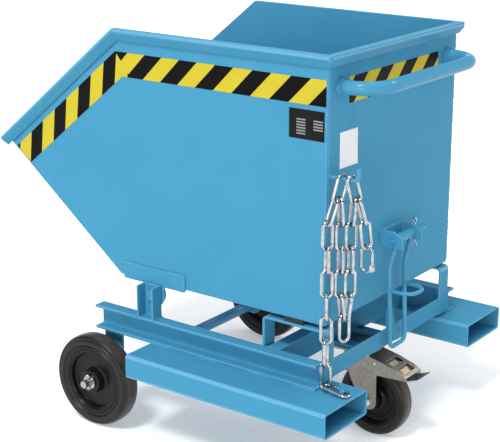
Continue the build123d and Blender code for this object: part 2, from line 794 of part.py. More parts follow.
def brake_lever():
    half = brake_lever_width / 2
    wall = brake_lever_wall
    line = [lever_start, lever_middle, tread_low, tread_high]
    strip = side_plate(line + [(x, z - wall) for x, z in reversed(line)], -half, half)
    cheek = [(brake_pin_x, brake_pin_z + brake_eye_radius), lever_start, lever_middle,
             (lever_middle[0], lever_middle[1] - brake_lever_cheek),
             (brake_pin_x, brake_pin_z - brake_eye_radius)]
    side = side_plate(cheek, -half, -half + wall)
    side += shaft_y(brake_pin_x, brake_pin_z, -half, -half + wall, 2 * brake_eye_radius)
    lever = strip + side + right_of(side)
    return lever - shaft_y(brake_pin_x, brake_pin_z, -half, half, brake_pin_diameter + 2 * running_clearance)


def brake_shoe():
    x0 = castor_x + brake_shoe_start
    x1 = x0 + brake_shoe_length
    reach = castor_wheel_diameter / 2 + brake_shoe_gap
    foot = [(x, castor_axle_z + sqrt(reach**2 - (x - castor_axle_x) ** 2)) for x in (x0, x1)]
    head = [(x, lever_height(x) - brake_lever_wall) for x in (x1, x0)]
    return side_plate(foot + head, -brake_shoe_width / 2, brake_shoe_width / 2)


pieces["castor_top_plate"] = castor_top_plate()
pieces["castor_kingpin"] = castor_kingpin()
pieces["castor_bolts"] = group(*[castor_bolt(x, y) for x, y in bolt_places])
pieces["castor_nuts"] = group(*[castor_nut(x, y) for x, y in bolt_places])
pieces["castor_fork"] = castor_fork()
pieces["castor_axle_bolt"] = castor_axle_bolt()
pieces["castor_brake_pin"] = shaft_y(brake_pin_x, brake_pin_z, -leg_outer, leg_outer, brake_pin_diameter)
pieces["castor_tyre"] = tyre(castor_wheel_diameter / 2, castor_wheel_width, castor_tyre_depth,
                             castor_axle_x, 0, castor_axle_z)
pieces["castor_rim"] = wheel_centre(castor_rim_radius, castor_wheel_width, castor_hub_length, castor_bore,
                                    castor_axle_x, 0, castor_axle_z)
pieces["castor_bearing"] = bearing(castor_axle_diameter, castor_bore, castor_hub_length,
                                   castor_axle_x, 0, castor_axle_z)
pieces["castor_brake_lever"] = brake_lever()
pieces["castor_brake_shoe"] = brake_shoe()

# Push handle


def push_handle():
    y = handle_half_span
    x = handle_reach
    z = handle_z
    path = FilletPolyline((0, -y, z), (x, -y, z), (x, y, z), (0, y, z), radius=handle_bend_radius)
    section = Circle(handle_tube / 2) - Circle(handle_tube / 2 - handle_wall)
    return sweep(Plane(origin=path @ 0, z_dir=path % 0) * section, path=path)


def handle_collar():
    centre = Pos(collar_thickness / 2, -handle_half_span, handle_z) * Rot(0, 90, 0)
    return centre * (Cylinder(collar_diameter / 2, collar_thickness)
                     - Cylinder(handle_tube / 2 + running_clearance, collar_thickness))


pieces["push_handle"] = push_handle()
pieces["handle_collars"] = both(handle_collar())

# Latch: a bracket and pin on the rear wall, a bail that hooks under the catch on the cross bar

catch_low = rail_top + catch_base_rise
catch_nose = support_rear + catch_reach
bar_x = catch_nose + bail_bar / 2 + latch_clearance
bar_z = latch_z - bail_drop
lug_outer = latch_lug_half_gap + latch_lug_thickness
pin_end = lug_outer + latch_pin_tail
latch_split_y = lug_outer + split_pin_diameter


def latch_bracket():
    z0 = latch_z - latch_lug_below
    z1 = latch_z + latch_lug_above
    lug = [(0, z0), (latch_lug_reach, z0), (latch_lug_reach, z1 - latch_lug_slope), (latch_x, z1), (0, z1)]
    bracket = block(0, latch_base_thickness, -lug_outer, lug_outer, z0, z1)
    plate = side_plate(lug, -lug_outer, -latch_lug_half_gap)
    bracket = bracket + plate + right_of(plate)
    return bracket - shaft_y(latch_x, latch_z, -lug_outer, lug_outer,
                             latch_pin_diameter + 2 * running_clearance)


def latch_pin():
    pin = shaft_y(latch_x, latch_z, -lug_outer - latch_lug_thickness, pin_end, latch_pin_diameter)
    return pin - shaft_z(latch_x, latch_split_y, latch_z - latch_pin_diameter, latch_z + latch_pin_diameter,
                         split_pin_diameter)


def latch_bail():
    y = bail_half_width
    start = latch_z - bail_sleeve_diameter / 2 + bail_bar / 4
    elbow = (latch_x - bail_elbow_inset, latch_z - bail_elbow_drop)
    down = [(latch_x, -y, start), (elbow[0], -y, elbow[1]), (bar_x, -y, bar_z)]
    up = [(x, -side, z) for x, side, z in reversed(down)]
    rods = bent_bar(down + up, bail_bend_radius, bail_bar)
    sleeve_half = latch_lug_half_gap - side_play
    sleeve = shaft_y(latch_x, latch_z, -sleeve_half, sleeve_half, bail_sleeve_diameter)
    return rods + sleeve - shaft_y(latch_x, latch_z, -sleeve_half, sleeve_half,
                                   latch_pin_diameter + 2 * running_clearance)


def latch_grip(bail):
    z = latch_z - grip_drop
    share = (grip_drop - bail_elbow_drop) / (bail_drop - bail_elbow_drop)
    elbow_x = latch_x - bail_elbow_inset
    x0 = elbow_x + share * (bar_x - elbow_x)
    x1 = latch_x + grip_reach
    y = bail_half_width
    loop = bent_bar([(x0, -y, z), (x1, -y, z), (x1, y, z), (x0, y, z)], grip_bend_radius, grip_bar)
    return loop - bail


def latch_catch():
    high = catch_low + catch_height
    back = support_rear - support_thickness
    outline = [(support_rear, catch_low), (catch_nose, catch_low),
               (catch_nose, catch_low + catch_nose_height),
               (back + catch_tip, high), (back, high), (back, cross_bar_top), (support_rear, cross_bar_top)]
    return side_plate(outline, -catch_width / 2, catch_width / 2)


pieces["latch_bracket"] = latch_bracket()
pieces["latch_pin"] = latch_pin()
pieces["latch_split_pin"] = (Pos(latch_x, latch_split_y, latch_z)
                             * split_pin(latch_split_length, split_pin_eye_radius, split_pin_diameter,
                                         latch_split_spread))
pieces["latch_bail"] = latch_bail()
pieces["latch_grip"] = latch_grip(pieces["latch_bail"])
pieces["latch_catch"] = latch_catch()

# Safety chain: two links hang on a hook and each carries two strands. The outer strand ends in a flat link
# round a stud on the fork pocket, the two in the middle meet in a loop, and the last one carries the snap
# hook.

link_step = link_pitch - link_play
link_axis = (link_width - link_wire) / 2      # centre of the wire from the middle of the link
link_straight = link_pitch - (link_width - 2 * link_wire)
link_crown = (link_pitch + link_wire) / 2
link_hang = link_wire + link_play             # wire of a hanging link above the wire that carries it
twin_offset = link_hang / 2                   # two wires side by side in one crown
twin_depth = sqrt((link_axis - link_wire - link_play / 4) ** 2 - twin_offset**2) - 2 * link_play
hook_contact = (hook_bar + link_wire) / 2 + link_play
hook_y = -half_width + hook_inset


def chain_link():
    """A long link in the XZ plane, its length along Z."""
    half = link_straight / 2
    wire = link_wire / 2
    end_arc = Pos(link_axis, 0, 0) * Circle(wire)
    crown = revolve(Plane.XY * end_arc, axis=Axis.Y, revolution_arc=-180)
    crown = Pos(0, 0, half) * crown
    leg = Pos(link_axis, 0, 0) * Cylinder(wire, link_straight)
    return crown + mirror(crown, about=Plane.XY) + leg + mirror(leg, about=Plane.YZ)


def level(angle):
    """A level direction, in degrees from the X axis."""
    return Vector(cos(radians(angle)), sin(radians(angle)), 0)


def hang_link(start, target, facing, above=0):
    """A link that hangs from a point on its axis towards a place: its lower end, axis and position."""
    length = 2 * link_crown - above
    away = Vector(target.X - start.X, target.Y - start.Y, 0)
    low = Vector(target.X, target.Y, start.Z - sqrt(length**2 - away.length**2))
    axis = (start - low).normalized()
    side = level(facing + 90)
    side = side - axis * side.dot(axis)
    return low, axis, Plane(origin=low + axis * link_crown, x_dir=side, z_dir=axis).location


def crown_pair(low, axis, facing):
    """The places of two wires side by side in the lower crown of a link."""
    middle = low + axis * (link_crown - link_straight / 2 - twin_depth)
    return [middle + level(facing + 90) * (side * twin_offset) for side in (-1, 1)]


# Heights of the chain are counted from the hook until the length of the outer strand gives the hook's height
bundle = Vector(bundle_reach, hook_y, 0)
run = level(strand_run) * strand_pitch
strands = [bundle + run * (k - 1.5) for k in range(4)]
even_turn = link_turn + 90
links = []
tops = []
for side in (-1, 1):
    on_hook = Vector(bundle_reach + side * hook_spread / 2, hook_y, 0)
    low, axis, position = hang_link(on_hook, bundle + run * side, link_turn, hook_contact)
    links.append(position)
    tops += crown_pair(low, axis, link_turn)


def hang_strand(side, count, twist, sway):
    """Add the links of a strand below the hook, from its second one, and give its lower end."""
    wire = tops[side]
    for k in range(2, count + 1):
        facing = (even_turn if k % 2 == 0 else link_turn) + twist(k)
        low, axis, position = hang_link(wire, strands[side] + sway(k), facing)
        links.append(position)
        wire = low + Vector(0, 0, link_hang)
    return low


def pocket_twist(k):
    return pocket_strand_twist * max(0, k - 3) / (pocket_strand_links - 3)


def short_twist(k):
    return short_strand_twist * (k - 2)


def pocket_sway(k):
    return Vector(0, -pocket_strand_sway, 0)


def short_sway(k):
    return level(strand_run) * (short_strand_sway * (k - 1) / 2)


def no_sway(k):
    return Vector(0, 0, 0)


def no_twist(k):
    return 0


pocket_end = hang_strand(0, pocket_strand_links, pocket_twist, pocket_sway)
short_end = hang_strand(3, short_strand_links, short_twist, short_sway)
hook_z = beam_bottom + 4 * link_play + link_wire / 2 - pocket_end.Z

# The strands of the loop lean together and carry its lowest link
loop_low = []
for side, sign in ((1, -1), (2, 1)):
    low = hang_strand(side, loop_strand_links - 1, no_twist, no_sway)
    meeting = bundle + level(link_turn + 90) * (sign * twin_offset)
    low, axis, position = hang_link(low + Vector(0, 0, link_hang), meeting, even_turn)
    links.append(position)
    loop_low.append(low.Z)
loop_top = Vector(bundle.X, bundle.Y, min(loop_low) + link_crown - link_straight / 2 - twin_depth)
links.append(hang_link(loop_top, bundle, link_turn)[2])

# The end link leans from the last hanging link down to the top of the fork pocket
end_high = hook_z + pocket_end.Z + link_hang
end_low = beam_bottom + link_wire / 2 + link_play
end_length = link_pitch + link_wire
end_lean = degrees(atan2(end_high - end_low, end_length))
end_run = sqrt(end_length**2 - (end_high - end_low) ** 2)
end_frame = Pos(pocket_end.X, pocket_end.Y, end_high)
end_place = end_frame * Pos(end_run / 2, 0, (end_low - end_high) / 2)
stud_at = (end_frame * Pos(end_run * stud_place_share, 0, 0)).position

one_link = chain_link()
chain = [Pos(0, 0, hook_z) * position * one_link for position in links]
chain.append(end_place * Rot(0, 90 + end_lean, 0) * Rot(0, 0, 90) * one_link)
pieces["safety_chain"] = group(*chain)
stud = shaft_z(stud_at.X, stud_at.Y, beam_bottom, beam_bottom + stud_height, stud_diameter)
pieces["chain_stud"] = fillet(stud.edges().group_by(Axis.Z)[-1], stud_diameter / 6)
hook_path = [(0, hook_y, hook_z), (hook_reach, hook_y, hook_z), (hook_reach, hook_y, hook_z + hook_upturn)]
pieces["chain_hook"] = bent_bar(hook_path, hook_bend_radius, hook_bar)

# Snap hook: an open oval of round bar with a sprung gate on its outer side

snap_axis = (snap_width - snap_wire) / 2
snap_straight = snap_length - snap_width
snap_top = hook_z + short_end.Z + (link_wire + snap_wire) / 2 + link_play
snap_z = snap_top + snap_wire / 2 - snap_length / 2
snap_place = Pos(short_end.X, short_end.Y, snap_z) * Rot(0, 0, snap_turn)
gate_radius = snap_wire / 2
gate_pin_z = -snap_gate_length / 2
gate_slot = gate_radius + loose_clearance


def snap_body():
    """The oval with its gate opening cut out, and two cheeks that hold the gate's pin."""
    end_arc = Pos(snap_axis, 0, 0) * Circle(snap_wire / 2)
    crown = Pos(0, 0, snap_straight / 2) * revolve(Plane.XY * end_arc, axis=Axis.Y, revolution_arc=-180)
    leg = Pos(snap_axis, 0, 0) * Cylinder(snap_wire / 2, snap_straight)
    oval = crown + mirror(crown, about=Plane.XY) + leg + mirror(leg, about=Plane.YZ)
    reach = snap_gate_length / 2 + gate_slot
    oval -= block(snap_axis - snap_wire, snap_axis + snap_wire, -snap_wire, snap_wire, -reach, reach)
    cheek_in = gate_slot
    cheek = block(snap_axis - gate_radius, snap_axis + gate_radius, -cheek_in - snap_cheek, -cheek_in,
                  gate_pin_z - 2 * snap_wire, gate_pin_z)
    cheek += shaft_y(snap_axis, gate_pin_z, -cheek_in - snap_cheek, -cheek_in, snap_wire)
    root = block(snap_axis - gate_radius, snap_axis + gate_radius, -cheek_in, 0,
                 gate_pin_z - 2 * snap_wire, gate_pin_z - gate_slot - loose_clearance)
    cheek += root
    body = oval + cheek + right_of(cheek)
    return body - shaft_y(snap_axis, gate_pin_z, -snap_wire, snap_wire,
                          snap_pin_diameter + 2 * running_clearance)


def snap_gate():
    """The round gate with ball ends, bored for its pin."""
    bar = Pos(snap_axis, 0, 0) * Cylinder(gate_radius, snap_gate_length)
    bar += Pos(snap_axis, 0, gate_pin_z) * Sphere(gate_radius)
    bar += Pos(snap_axis, 0, -gate_pin_z) * Sphere(gate_radius)
    return bar - shaft_y(snap_axis, gate_pin_z, -snap_wire, snap_wire,
                         snap_pin_diameter + 2 * running_clearance)


snap_pin = shaft_y(snap_axis, gate_pin_z, -gate_slot - snap_cheek, gate_slot + snap_cheek, snap_pin_diameter)
pieces["snap_hook_body"] = group(snap_place * snap_body(), snap_place * snap_pin)
pieces["snap_hook_gate"] = snap_place * snap_gate()

# Tapes, type plate and label

slope_dir = pi + rim_angle
margin_point = (knee[0] + tape_edge_margin * sin(spout_angle), knee[1] + tape_edge_margin * cos(spout_angle))


def side_tape():
    rear_x = -rear_corner_radius
    corners = []
    for inset in (0, tape_width):
        level_drop = tape_drop + inset
        slope_drop = spout_tape_drop + inset
        on_slope = (rim_break[0] + slope_drop * sin(rim_angle), rim_break[1] - slope_drop * cos(rim_angle))
        end = meet(on_slope, slope_dir, margin_point, pi - spout_angle)
        bend = meet((0, top - level_drop), pi, on_slope, slope_dir)
        corners.append([end, bend, (rear_x, top - level_drop)])
    upper, lower = corners
    return side_plate(upper + lower[::-1], -half_width - tape_thickness, -half_width)


plate_x1 = -plate_rear_inset
plate_x0 = plate_x1 - plate_length
plate_z1 = top - plate_drop
plate_z0 = plate_z1 - plate_height
rivets = []
for x in (plate_x0 + rivet_inset, plate_x1 - rivet_inset):
    for z in (plate_z0 + rivet_inset, plate_z1 - rivet_inset):
        face = -half_width - plate_thickness
        head = shaft_y(x, z, face - rivet_head, face, rivet_diameter)
        rivets.append(fillet(head.edges().group_by(Axis.Y)[0], rivet_head / 2))

add_sides("tape", side_tape())
pieces["tape_rear"] = block(0, tape_thickness, -rear_tape_left, rear_tape_right,
                            top - rear_tape_drop - tape_width, top - rear_tape_drop)
pieces["type_plate"] = block(plate_x0, plate_x1, -half_width - plate_thickness, -half_width,
                             plate_z0, plate_z1)
pieces["plate_rivets"] = group(*rivets)
label_y0 = -half_width + label_side_inset
pieces["paper_label"] = block(0, label_thickness, label_y0, label_y0 + label_width,
                              top - label_drop - label_height, top - label_drop)

# The finished trolley stands centred on the origin

boxes = [shape.bounding_box() for shape in pieces.values()]
shift = -(min(box.min.X for box in boxes) + max(box.max.X for box in boxes)) / 2
for node, shape in pieces.items():
    export_step(Pos(shift, 0, 0) * shape, f"parts/{node}.step")

print("nodes", len(pieces), "shift", round(shift, 4))
print("pivot", round(pivot_x + shift, 4), round(pivot_z, 4))
print("latch", round(latch_x + shift, 4), round(latch_z, 4))
print("front axle", round(axle_x + shift, 4), round(wheel_y, 4), round(axle_z, 4))
print("castor", round(castor_x + shift, 4), round(castor_axle_x + shift, 4), round(castor_axle_z, 4))
print("brake pin", round(brake_pin_x + shift, 4), round(brake_pin_z, 4))
gate_place = (Pos(shift, 0, 0) * snap_place * Pos(snap_axis, 0, gate_pin_z)).position
print("gate pin", round(gate_place.X, 4), round(gate_place.Y, 4), round(gate_place.Z, 4), "turn", snap_turn)
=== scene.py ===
import math

import bmesh
import bpy
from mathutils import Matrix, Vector


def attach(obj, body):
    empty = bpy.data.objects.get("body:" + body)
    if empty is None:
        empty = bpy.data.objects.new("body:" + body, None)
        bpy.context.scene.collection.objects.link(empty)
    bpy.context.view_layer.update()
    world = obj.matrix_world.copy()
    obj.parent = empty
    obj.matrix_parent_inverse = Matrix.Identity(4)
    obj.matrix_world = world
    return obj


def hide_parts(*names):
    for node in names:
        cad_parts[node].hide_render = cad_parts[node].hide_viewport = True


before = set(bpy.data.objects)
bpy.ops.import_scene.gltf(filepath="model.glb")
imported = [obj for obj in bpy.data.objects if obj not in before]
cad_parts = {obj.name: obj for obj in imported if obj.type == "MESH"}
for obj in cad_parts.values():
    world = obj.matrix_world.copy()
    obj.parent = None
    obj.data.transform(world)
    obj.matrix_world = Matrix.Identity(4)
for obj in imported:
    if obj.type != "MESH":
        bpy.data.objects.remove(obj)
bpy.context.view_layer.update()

# Frame weldment: two rolled channel beams on two rectangular tubes for fork tines, with channel posts, bent
# straps, a cross channel and flat bars between them. Mild steel, cut and welded, then powder coated as one.

MM = 0.001
REAR_WALL = 473.7578          # millimetres from the middle of the trolley to the bucket's rear wall
STRIP = 6.0                   # facets of a bent corner are narrower than this
MERGED = 0.01                 # points nearer than this are one point
FLAT, BENT, CORNER, CREASE = [math.radians(angle) for angle in (0.5, 3.0, 28.0, 40.0)]


def linear(code):
    """The linear colour of an sRGB hex code."""
    shares = [int(code[k:k + 2], 16) / 255 for k in (1, 3, 5)]
    return tuple(c / 12.92 if c <= 0.04045 else ((c + 0.055) / 1.055) ** 2.4 for c in shares) + (1.0,)


def add(tree, kind, inputs=None, **settings):
    """Add a node with its settings; an input takes a value as it is, or a link from a socket."""
    node = tree.nodes.new(kind)
    for key, value in settings.items():
        setattr(node, key, value)
    for key, value in (inputs or {}).items():
        if isinstance(value, bpy.types.NodeSocket):
            tree.links.new(value, node.inputs[key])
        else:
            node.inputs[key].default_value = value
    return node


def new_finish(name, **values):
    """A new material with plain values on its shader; gives it, its tree, shader and coordinates."""
    material = bpy.data.materials.new(name)
    material.use_nodes = True
    tree = material.node_tree
    shader = tree.nodes["Principled BSDF"]
    for key, value in values.items():
        shader.inputs[key.replace("_", " ")].default_value = value
    return material, tree, shader, add(tree, "ShaderNodeTexCoord").outputs["Object"]


def cloud(tree, place, grain, detail):
    """A share from 0 to 1 that drifts in patches; grain is their size in millimetres."""
    inputs = {"Vector": place, "Scale": 1 / (grain * MM), "Detail": detail}
    return add(tree, "ShaderNodeTexNoise", inputs).outputs["Fac"]


def blend(tree, share, first, second):
    """A colour between two, each a hex code or a socket."""
    ends = [linear(colour) if isinstance(colour, str) else colour for colour in (first, second)]
    return add(tree, "ShaderNodeMix", {0: share, 6: ends[0], 7: ends[1]}, data_type="RGBA").outputs[2]


def spread(tree, value, low, high, start=0.0, end=1.0):
    """A value from start to end, brought to the range from low to high."""
    inputs = {"Value": value, "From Min": start, "From Max": end, "To Min": low, "To Max": high}
    return add(tree, "ShaderNodeMapRange", inputs).outputs[0]


def calc(tree, operation, *values):
    """The result of one math step."""
    return add(tree, "ShaderNodeMath", dict(enumerate(values)), operation=operation).outputs[0]


def relief(tree, height, strength, depth):
    """Small unevenness of a surface; depth in millimetres."""
    inputs = {"Height": height, "Strength": strength, "Distance": depth * MM}
    return add(tree, "ShaderNodeBump", inputs).outputs[0]


def wire(tree, shader, **sockets):
    """Join sockets to the shader's inputs of these names."""
    for key, socket in sockets.items():
        tree.links.new(socket, shader.inputs[key.replace("_", " ")])


# Polyester powder coat, light blue, baked: a semi-gloss film with a faint orange peel of about 3 mm, slightly
# uneven in shade over a hand's width. It is glossier over edges and round bars. On rounded edges and bent
# corners its colour is also painted paler, as a painted highlight.
def powder_film(name, flow):
    """Blue powder coat; flow is the share of the smooth top skin on its plain faces."""
    material, tree, shader, place = new_finish(name, Specular_IOR_Level=0.02, Coat_Roughness=0.1)
    # Rounded edges and bent corners: the paler colour there is a painted highlight, the extra coat is real
    # gloss.
    edge_gloss_and_highlight = add(tree, "ShaderNodeAttribute", attribute_name="rounded_edge").outputs["Fac"]
    tint = blend(tree, cloud(tree, place, 160, 3.0), "#4190B5", "#4D9ABD")
    handling = cloud(tree, place, 45, 4.0)
    peel = cloud(tree, place, 3, 1.0)
    wire(tree, shader,
         Base_Color=blend(tree, spread(tree, edge_gloss_and_highlight, 0.0, 0.3), tint, "#8CCBE8"),
         Roughness=spread(tree, handling, 0.3, 0.42, 0.3, 0.7),
         Coat_Weight=spread(tree, edge_gloss_and_highlight, flow, 0.6),
         Normal=relief(tree, peel, 0.12, 0.4))
    return material


powder_coat = powder_film("powder_coat_light_blue", 0.05)
bar_coat = powder_film("powder_coat_on_round_bar", 0.38)


def placed(name, data):
    """A new object in the scene, made of a mesh, a light or a camera."""
    item = bpy.data.objects.new(name, data)
    bpy.context.scene.collection.objects.link(item)
    return item


def settle(piece, body, material=None, replaces=()):
    """Give a finished piece its material, its body and the CAD nodes that it stands for."""
    if material:
        piece.data.materials.clear()
        piece.data.materials.append(material)
    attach(piece, body)
    if replaces:
        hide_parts(*replaces)


def softened(node, width):
    """A copy of a CAD piece with rounded edges; these and its bent corners are marked for a painted
    highlight.
    """
    shape = bmesh.new()
    shape.from_mesh(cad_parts[node].data)
    bmesh.ops.remove_doubles(shape, verts=shape.verts, dist=MERGED * MM)
    bmesh.ops.dissolve_limit(shape, angle_limit=FLAT, verts=shape.verts, edges=shape.edges)
    mark = shape.faces.layers.float.new("rounded_edge")
    for face in shape.faces:
        breadth = face.calc_area() / max(edge.calc_length() for edge in face.edges)
        bends = [edge for edge in face.edges
                 if edge.is_convex and BENT < edge.calc_face_angle(0.0) < CORNER]
        if len(bends) > 1 and breadth < STRIP * MM:
            face[mark] = 1.0
    sharp = [edge for edge in shape.edges if edge.is_manifold and edge.calc_face_angle(0.0) > CORNER]
    made = bmesh.ops.bevel(shape, geom=sharp, offset=width * MM, offset_type="OFFSET", segments=2,
                           profile=0.5, affect="EDGES", clamp_overlap=False)
    for face in made["faces"]:
        face[mark] = 1.0
    for face in shape.faces:
        face.smooth = True
    mesh = bpy.data.meshes.new(node + "_finished")
    shape.to_mesh(mesh)
    shape.free()
    mesh.set_sharp_from_angle(angle=CREASE)
    piece = placed(node + "_finished", mesh)
    even = piece.modifiers.new("even_faces", "WEIGHTED_NORMAL")
    even.keep_sharp = True
    return piece


def dress(node, width, body, material):
    """Put a softened copy in the place of a CAD piece; width is that of its rounded edges."""
    settle(softened(node, width), body, material, [node])


frame_edges = {"side_beam_left": 1.5, "side_beam_right": 1.5, "fork_pocket_left": 0.8,
               "fork_pocket_right": 0.8, "front_posts": 1.2, "rear_supports": 1.2, "cross_channel": 1.5,
               "rear_cross_bar": 1.0, "castor_rails": 1.0, "axle_brackets": 1.0, "latch_catch": 0.8}
for node, edge in frame_edges.items():
    dress(node, edge, "chassis", powder_coat)

# Weld beads: short runs of wire laid by hand where the parts of the frame meet, painted over with it. Each
# bead is a row of flattened drops, one for each pulse of the torch.

RIPPLE, BEAD = 3.2, 3.8       # millimetres from drop to drop, and the radius of a drop
NARROW, WIDE = 0.82, 1.12     # share of the radius across the bead, drop by drop

bead_tree = bpy.data.node_groups.new("weld_bead", "GeometryNodeTree")
for label, kind in (("Seams", "Geometry"), ("Ripple", "Float"), ("Bead radius", "Float"), ("Seed", "Int"),
                    ("Finish", "Material")):
    bead_tree.interface.new_socket(label, in_out="INPUT", socket_type="NodeSocket" + kind)
bead_tree.interface.new_socket("Beads", in_out="OUTPUT", socket_type="NodeSocketGeometry")
seam = add(bead_tree, "NodeGroupInput").outputs
line = add(bead_tree, "GeometryNodeMeshToCurve", {"Mesh": seam["Seams"]}).outputs["Curve"]
run = add(bead_tree, "GeometryNodeResampleCurve", {"Curve": line, "Length": seam["Ripple"]}, mode="LENGTH")
tangent = add(bead_tree, "GeometryNodeInputTangent").outputs["Tangent"]
turn = add(bead_tree, "FunctionNodeAlignRotationToVector", {"Vector": tangent}, axis="X")
uneven = add(bead_tree, "FunctionNodeRandomValue", {2: NARROW, 3: WIDE, "Seed": seam["Seed"]},
             data_type="FLOAT")
width = calc(bead_tree, "MULTIPLY", seam["Bead radius"], uneven.outputs[1])
size = add(bead_tree, "ShaderNodeCombineXYZ", {0: seam["Bead radius"], 1: width, 2: width})
drop = add(bead_tree, "GeometryNodeMeshUVSphere", {"Segments": 8, "Rings": 6, "Radius": 1.0})
row = add(bead_tree, "GeometryNodeInstanceOnPoints",
          {"Points": run.outputs["Curve"], "Instance": drop.outputs["Mesh"],
           "Rotation": turn.outputs["Rotation"], "Scale": size.outputs[0]})
whole = add(bead_tree, "GeometryNodeRealizeInstances", {"Geometry": row.outputs["Instances"]})
smooth = add(bead_tree, "GeometryNodeSetShadeSmooth", {0: whole.outputs["Geometry"]})
finished = add(bead_tree, "GeometryNodeSetMaterial",
               {"Geometry": smooth.outputs[0], "Material": seam["Finish"]})
add(bead_tree, "NodeGroupOutput", {"Beads": finished.outputs["Geometry"]})


def weld(name, body, seams, seed):
    """Beads along seams; a seam is a list of points in millimetres, X from the bucket's rear wall."""
    points = []
    edges = []
    for seam_points in seams:
        for k, (x, y, z) in enumerate(seam_points):
            if k:
                edges.append((len(points) - 1, len(points)))
            points.append(((x + REAR_WALL) * MM, y * MM, z * MM))
    mesh = bpy.data.meshes.new(name)
    mesh.from_pydata(points, edges, [])
    piece = placed(name, mesh)
    modifier = piece.modifiers.new("weld_bead", "NODES")
    modifier.node_group = bead_tree
    values = {"Ripple": RIPPLE * MM, "Bead radius": BEAD * MM, "Seed": seed, "Finish": powder_coat}
    for socket in bead_tree.interface.items_tree:
        if socket.in_out == "INPUT" and socket.name in values:
            modifier[socket.identifier] = values[socket.name]
    graph = bpy.context.evaluated_depsgraph_get()
    beads = bpy.data.meshes.new_from_object(piece.evaluated_get(graph))
    piece.modifiers.clear()
    piece.data = beads
    settle(piece, body)


def both_sides(seams):
    """The seams of the left side and their mirror images on the right."""
    return seams + [[(x, -y, z) for x, y, z in points] for points in seams]


def upright(x, y, low, high):
    """A seam straight up."""
    return [(x, y, low), (x, y, high)]


def lengthwise(start, end, y, z):
    """A seam along the trolley."""
    return [(start, y, z), (end, y, z)]


def crosswise(x, start, end, z):
    """A seam across the trolley."""
    return [(x, start, z), (x, end, z)]


BEAM_INNER, BEAM_OUTER, BEAM_LOW, BEAM_HIGH = 307.0, 343.0, 247.0, 312.0
POST_FRONT, POST_REAR = -554.0, -500.0
CHANNEL_FRONT, CHANNEL_REAR = -163.0, -126.0
SUPPORT_FRONT, SUPPORT_REAR, SUPPORT_FOOT = -175.0, 1.0, 257.0
CROSS_BAR_END, CROSS_BAR_LOW, CROSS_BAR_HIGH = 263.0, 260.0, 301.0
BRACKET_FRONT, BRACKET_REAR = -690.0, -632.0
RAIL_OUTER, RAIL_INNER = 66.0, 40.0
STITCH = 55.0                 # length of each bead between beam and fork pocket
frame_seams = [
    crosswise(POST_FRONT, -BEAM_OUTER + 2, -BEAM_INNER - 1, BEAM_HIGH),
    crosswise(POST_REAR, -BEAM_OUTER + 2, -BEAM_INNER - 1, BEAM_HIGH),
    lengthwise(POST_FRONT + 6, POST_REAR - 6, -BEAM_INNER - 5, BEAM_HIGH),
    upright(CHANNEL_FRONT, -BEAM_INNER + 1, BEAM_LOW + 3, BEAM_HIGH - 3),
    upright(CHANNEL_REAR, -BEAM_INNER + 1, BEAM_LOW + 3, BEAM_HIGH - 3),
    upright(SUPPORT_FRONT, -BEAM_INNER + 1, BEAM_HIGH - 1, SUPPORT_FOOT),
    upright(SUPPORT_REAR, -BEAM_INNER + 1, SUPPORT_FOOT, BEAM_HIGH - 1),
    upright(0.0, -CROSS_BAR_END, CROSS_BAR_LOW, CROSS_BAR_HIGH),
    lengthwise(BRACKET_FRONT, BRACKET_REAR, -BEAM_INNER - 2, BEAM_LOW),
    lengthwise(BRACKET_FRONT, BRACKET_REAR, -BEAM_INNER - 12, BEAM_LOW),
    crosswise(CHANNEL_REAR, -RAIL_OUTER, -RAIL_INNER, BEAM_LOW + 1),
]
for start in (-505.0, -350.0, -190.0, -58.0):
    frame_seams.append(lengthwise(start, start + STITCH, -BEAM_OUTER, BEAM_LOW))
    frame_seams.append(lengthwise(start, start + STITCH, -BEAM_INNER, BEAM_LOW))
weld("frame_welds", "chassis", both_sides(frame_seams), 3)

# Rubber buffers: moulded blocks under the rear of the bucket, each held down on its strap by one sunk screw.

# Moulded natural rubber, black: matt, with a faint grey bloom.
buffer_rubber, tree, shader, place = new_finish("moulded_buffer_rubber")
bloom = cloud(tree, place, 12, 4.0)
wire(tree, shader,
     Base_Color=blend(tree, bloom, "#1B1B1C", "#2C2B2B"),
     Roughness=spread(tree, bloom, 0.6, 0.85),
     Normal=relief(tree, bloom, 0.15, 0.6))

# Bright zinc plate on turned and bent steel: a pale mirror with a bluish cast, clouded by the plating bath
# and by handling. The wide dark-to-pale spread of its colour is partly painted reflection.
bright_zinc, tree, shader, place = new_finish("bright_zinc_plate", Metallic=1.0)
# The dark and pale patches of the colour are partly plating mottle and partly painted reflections.
plating_mottle_and_reflection = cloud(tree, place, 14, 2.0)
wire(tree, shader,
     Base_Color=blend(tree, plating_mottle_and_reflection, "#72777B", "#DFE2E4"),
     Roughness=spread(tree, plating_mottle_and_reflection, 0.07, 0.22),
     Normal=relief(tree, plating_mottle_and_reflection, 0.05, 0.4))


def coat_nodes(material, *nodes):
    """Give CAD pieces that keep their shape a finish."""
    for node in nodes:
        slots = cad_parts[node].material_slots
        if slots:
            for slot in slots:
                slot.link = "OBJECT"
                slot.material = material
        else:
            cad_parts[node].data.materials.append(material)


coat_nodes(buffer_rubber, "rubber_buffers")
coat_nodes(bright_zinc, "buffer_screws")

# Front axle: a drawn round bar through two brackets, painted with the frame between them. Its bare ends carry
# the wheels, a washer and a split pin.

AXLE_X, AXLE_Z = -661.0, 125.0
PAINTED_HALF = 350.0

